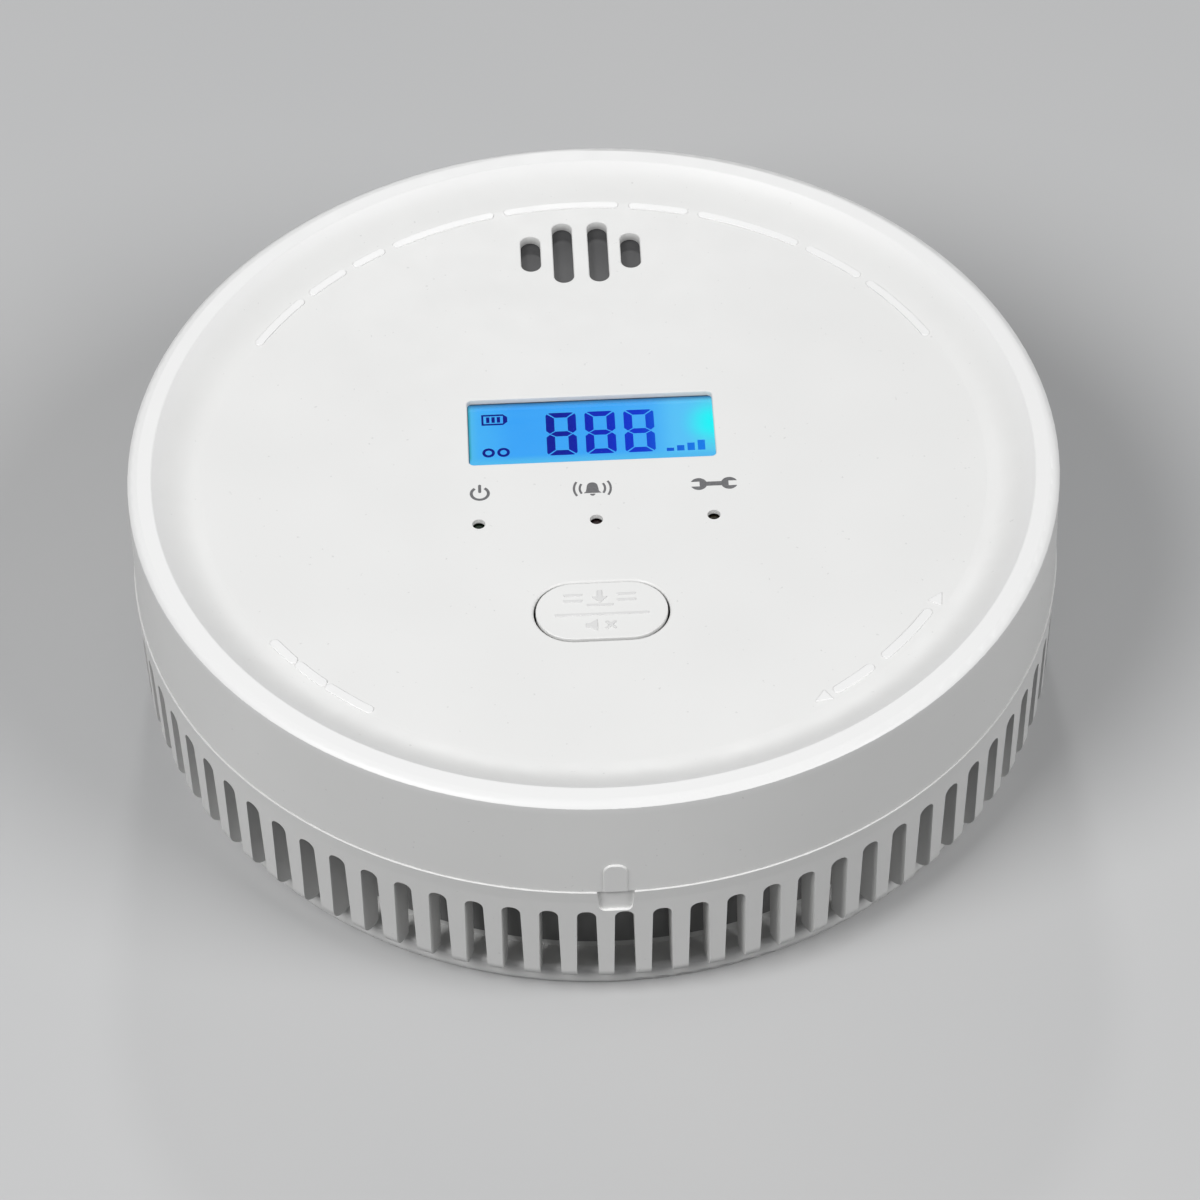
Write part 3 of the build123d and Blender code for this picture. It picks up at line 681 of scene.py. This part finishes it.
def push_symbol(x, y):
    """A pressing arrow over a pad, between two pairs of level strokes."""
    arrow = [
        (-0.28, 1.15), (0.28, 1.15), (0.28, 0.2), (0.85, 0.2), (0, -0.75), (-0.85, 0.2), (-0.28, 0.2),
    ]
    pad_half, pad_y, width = 1.35, -1.05, 0.3
    shapes = [moved(arrow, x, y), bar(x - pad_half, y + pad_y, x + pad_half, y + pad_y, width)]
    for side in (-1, 1):
        for height in (-0.35, 0.55):
            shapes.append(bar(x + side * 2.1, y + height, x + side * 3.9, y + height, width))
    return shapes


def speaker_symbol(x, y):
    return [[
        (x - 0.75, y - 0.3), (x - 0.3, y - 0.3), (x + 0.55, y - 0.85), (x + 0.55, y + 0.85),
        (x - 0.3, y + 0.3), (x - 0.75, y + 0.3),
    ]]


def cross_symbol(x, y):
    reach = 0.62
    width = 0.19
    corner = reach - width
    waist = width * 1.1
    return [[
        (x - reach, y + corner), (x - waist, y), (x - reach, y - corner), (x - corner, y - reach),
        (x, y - waist), (x + corner, y - reach), (x + reach, y - corner), (x + waist, y),
        (x + reach, y + corner), (x + corner, y + reach), (x, y + waist), (x - corner, y + reach),
    ]]


line_half = 5.1
line_y = button_y - 0.6
mute_y = button_y - 2.3
for name, outlines in (
    ("push_symbol", push_symbol(button_x - 0.15, button_y + 1.85)),
    ("button_line", [bar(button_x - line_half, line_y, button_x + line_half, line_y, 0.32)]),
    ("speaker_symbol", speaker_symbol(button_x - 1.1, mute_y)),
    ("mute_cross", cross_symbol(button_x + 0.95, mute_y)),
):
    prism_object(name, outlines, raised_low, raised_high, "button", raised_grey, soft=0.04)


# --- Display contents -----------------------------------------------------------------
segment_low, segment_high = lcd_z + 0.005, lcd_z + 0.03


def digit(left, bottom):
    """The seven segments of one figure eight, with slanted gaps between them."""
    width, height = 3.5, 6.9
    thick = 0.78
    side = 0.98
    gap = 0.11
    half = height / 2
    cut = 0.42
    right, top = left + width, bottom + height
    middle = bottom + half
    upper = [
        (left + gap + cut * 0.5, top - cut * 0.15), (left + cut + gap, top), (right - cut - gap, top),
        (right - gap - cut * 0.5, top - cut * 0.15), (right - side - gap, top - thick),
        (left + side + gap, top - thick),
    ]
    lower = [(x, bottom + top - y) for x, y in reversed(upper)]
    centre = [
        (left + gap + cut, middle), (left + side + gap, middle + thick / 2),
        (right - side - gap, middle + thick / 2), (right - gap - cut, middle),
        (right - side - gap, middle - thick / 2), (left + side + gap, middle - thick / 2),
    ]
    upper_left = [
        (left, middle + gap + cut), (left, top - cut), (left + cut * 0.35, top - cut * 0.45),
        (left + side, top - thick - gap), (left + side, middle + thick / 2 + gap),
        (left + cut, middle + gap),
    ]
    upper_right = [(left + right - x, y) for x, y in reversed(upper_left)]
    lower_left = [(x, bottom + top - y) for x, y in reversed(upper_left)]
    lower_right = [(left + right - x, y) for x, y in reversed(lower_left)]
    return [upper, centre, lower, upper_left, upper_right, lower_left, lower_right]


digits_bottom = 3.4
figures = []
for left in (-5.16, -0.65, 3.86):
    figures += digit(left, digits_bottom)


def charge_symbol(x, y):
    """A battery outline with three cells inside and a rounded nose."""
    cell_step = 0.62
    shapes = [
        rectangle(x, y, x + 2.5, y + 0.24),
        rectangle(x, y + 1.5, x + 2.5, y + 1.74),
        rectangle(x, y + 0.24, x + 0.24, y + 1.5),
        [(x + 2.5, y), (x + 2.8, y + 0.3), (x + 3.0, y + 0.5), (x + 3.0, y + 1.24),
         (x + 2.8, y + 1.44), (x + 2.5, y + 1.74), (x + 2.5, y + 1.5), (x + 2.5, y + 0.24)],
    ]
    for step in range(3):
        left, right = x + 0.55 + step * cell_step, x + 0.93 + step * cell_step
        shapes.append(rectangle(left, y + 0.42, right, y + 1.32))
    return shapes


def linked_rings(x, y):
    """Two rings side by side, each of two half bands."""
    apart, radius, width = 0.86, 0.56, 0.34
    return [
        band((x + side * apart, y), radius, width, start, start + 180, 12)
        for side in (-1, 1)
        for start in (0, 180)
    ]


def level_bars(x, y):
    """Four rising bars."""
    heights = (0.5, 0.85, 1.2, 1.6)
    pitch, width = 1.2, 0.85
    return [
        rectangle(x + step * pitch, y, x + step * pitch + width, y + height)
        for step, height in enumerate(heights)
    ]


for name, outlines in (
    ("figures", figures),
    ("charge_symbol", charge_symbol(-12.6, 8.7)),
    ("gas_symbol", linked_rings(-11.05, 4.2)),
    ("level_bars", level_bars(8.6, 3.35)),
):
    prism_object(name, outlines, segment_low, segment_high, "detector", segment_ink)


# --- Studio ---------------------------------------------------------------------------
def make_floor():
    """A pale matt floor, far wider than any view."""
    recipe = Recipe("pale_floor", Specular_IOR_Level=0.1)
    tone = recipe.spread(recipe.noise(140, 3), 0, 1)
    recipe.feed(
        Base_Color=recipe.blend(tone, (0.52, 0.525, 0.53), (0.55, 0.55, 0.55)),
        Roughness=recipe.spread(recipe.noise(30, 2), 0.8, 0.9),
    )
    mesh = bpy.data.meshes.new("floor")
    shape = bmesh.new()
    bmesh.ops.create_circle(shape, cap_ends=True, radius=6, segments=96)
    shape.to_mesh(mesh)
    shape.free()
    floor = bpy.data.objects.new("floor", mesh)
    floor.location.z = -0.0002
    bpy.context.scene.collection.objects.link(floor)
    mesh.materials.append(recipe.material)
    floor.visible_diffuse = False


def area_light(name, place, size, power):
    """A round soft light that points at the middle of the object."""
    target = (0, 0, 0.02)
    light = bpy.data.lights.new(name, "AREA")
    light.shape = "DISK"
    light.size = size
    light.energy = power
    lamp = bpy.data.objects.new(name, light)
    bpy.context.scene.collection.objects.link(lamp)
    lamp.location = place
    lamp.rotation_mode = "QUATERNION"
    lamp.rotation_quaternion = (Vector(target) - Vector(place)).to_track_quat("-Z", "Y")


def from_direction(azimuth, elevation, distance):
    """A place round the object: azimuth 0 is the front, 90 the right-hand side."""
    turn, rise = math.radians(azimuth), math.radians(elevation)
    flat = distance * math.cos(rise)
    return (flat * math.sin(turn), -flat * math.cos(turn), distance * math.sin(rise))


def make_lights():
    distance = 1.1
    area_light("key", from_direction(-52, 47, distance), size=0.6, power=8.6)
    area_light("fill", from_direction(60, 42, distance), size=0.6, power=6.0)
    area_light("back", from_direction(180, 35, distance), size=0.12, power=1.7)
    world = bpy.data.worlds.new("studio")
    world.use_nodes = True
    background = world.node_tree.nodes["Background"]
    background.inputs["Color"].default_value = (0.75, 0.76, 0.78, 1)
    background.inputs["Strength"].default_value = 0.16
    bpy.context.scene.world = world


def make_camera():
    """The camera looks down at the face from the front, turned and tipped a little."""
    distance = 0.5875
    aim = Vector((-0.00019, -0.0227, top_z * MM))
    elevation, turn, roll = math.radians(VIEW_ELEVATION), math.radians(-1.6), math.radians(1.2)
    back = Vector((
        math.sin(turn) * math.cos(elevation),
        -math.cos(turn) * math.cos(elevation),
        math.sin(elevation),
    ))
    data = bpy.data.cameras.new("camera")
    data.lens = 158.4
    data.sensor_width = 36
    camera = bpy.data.objects.new("camera", data)
    bpy.context.scene.collection.objects.link(camera)
    camera.location = aim + back * distance
    camera.rotation_mode = "QUATERNION"
    camera.rotation_quaternion = (-back).to_track_quat("-Z", "Y") @ Quaternion((0, 0, 1), -roll)
    bpy.context.scene.camera = camera


make_floor()
make_lights()
make_camera()
bpy.context.scene.view_settings.view_transform = "Standard"
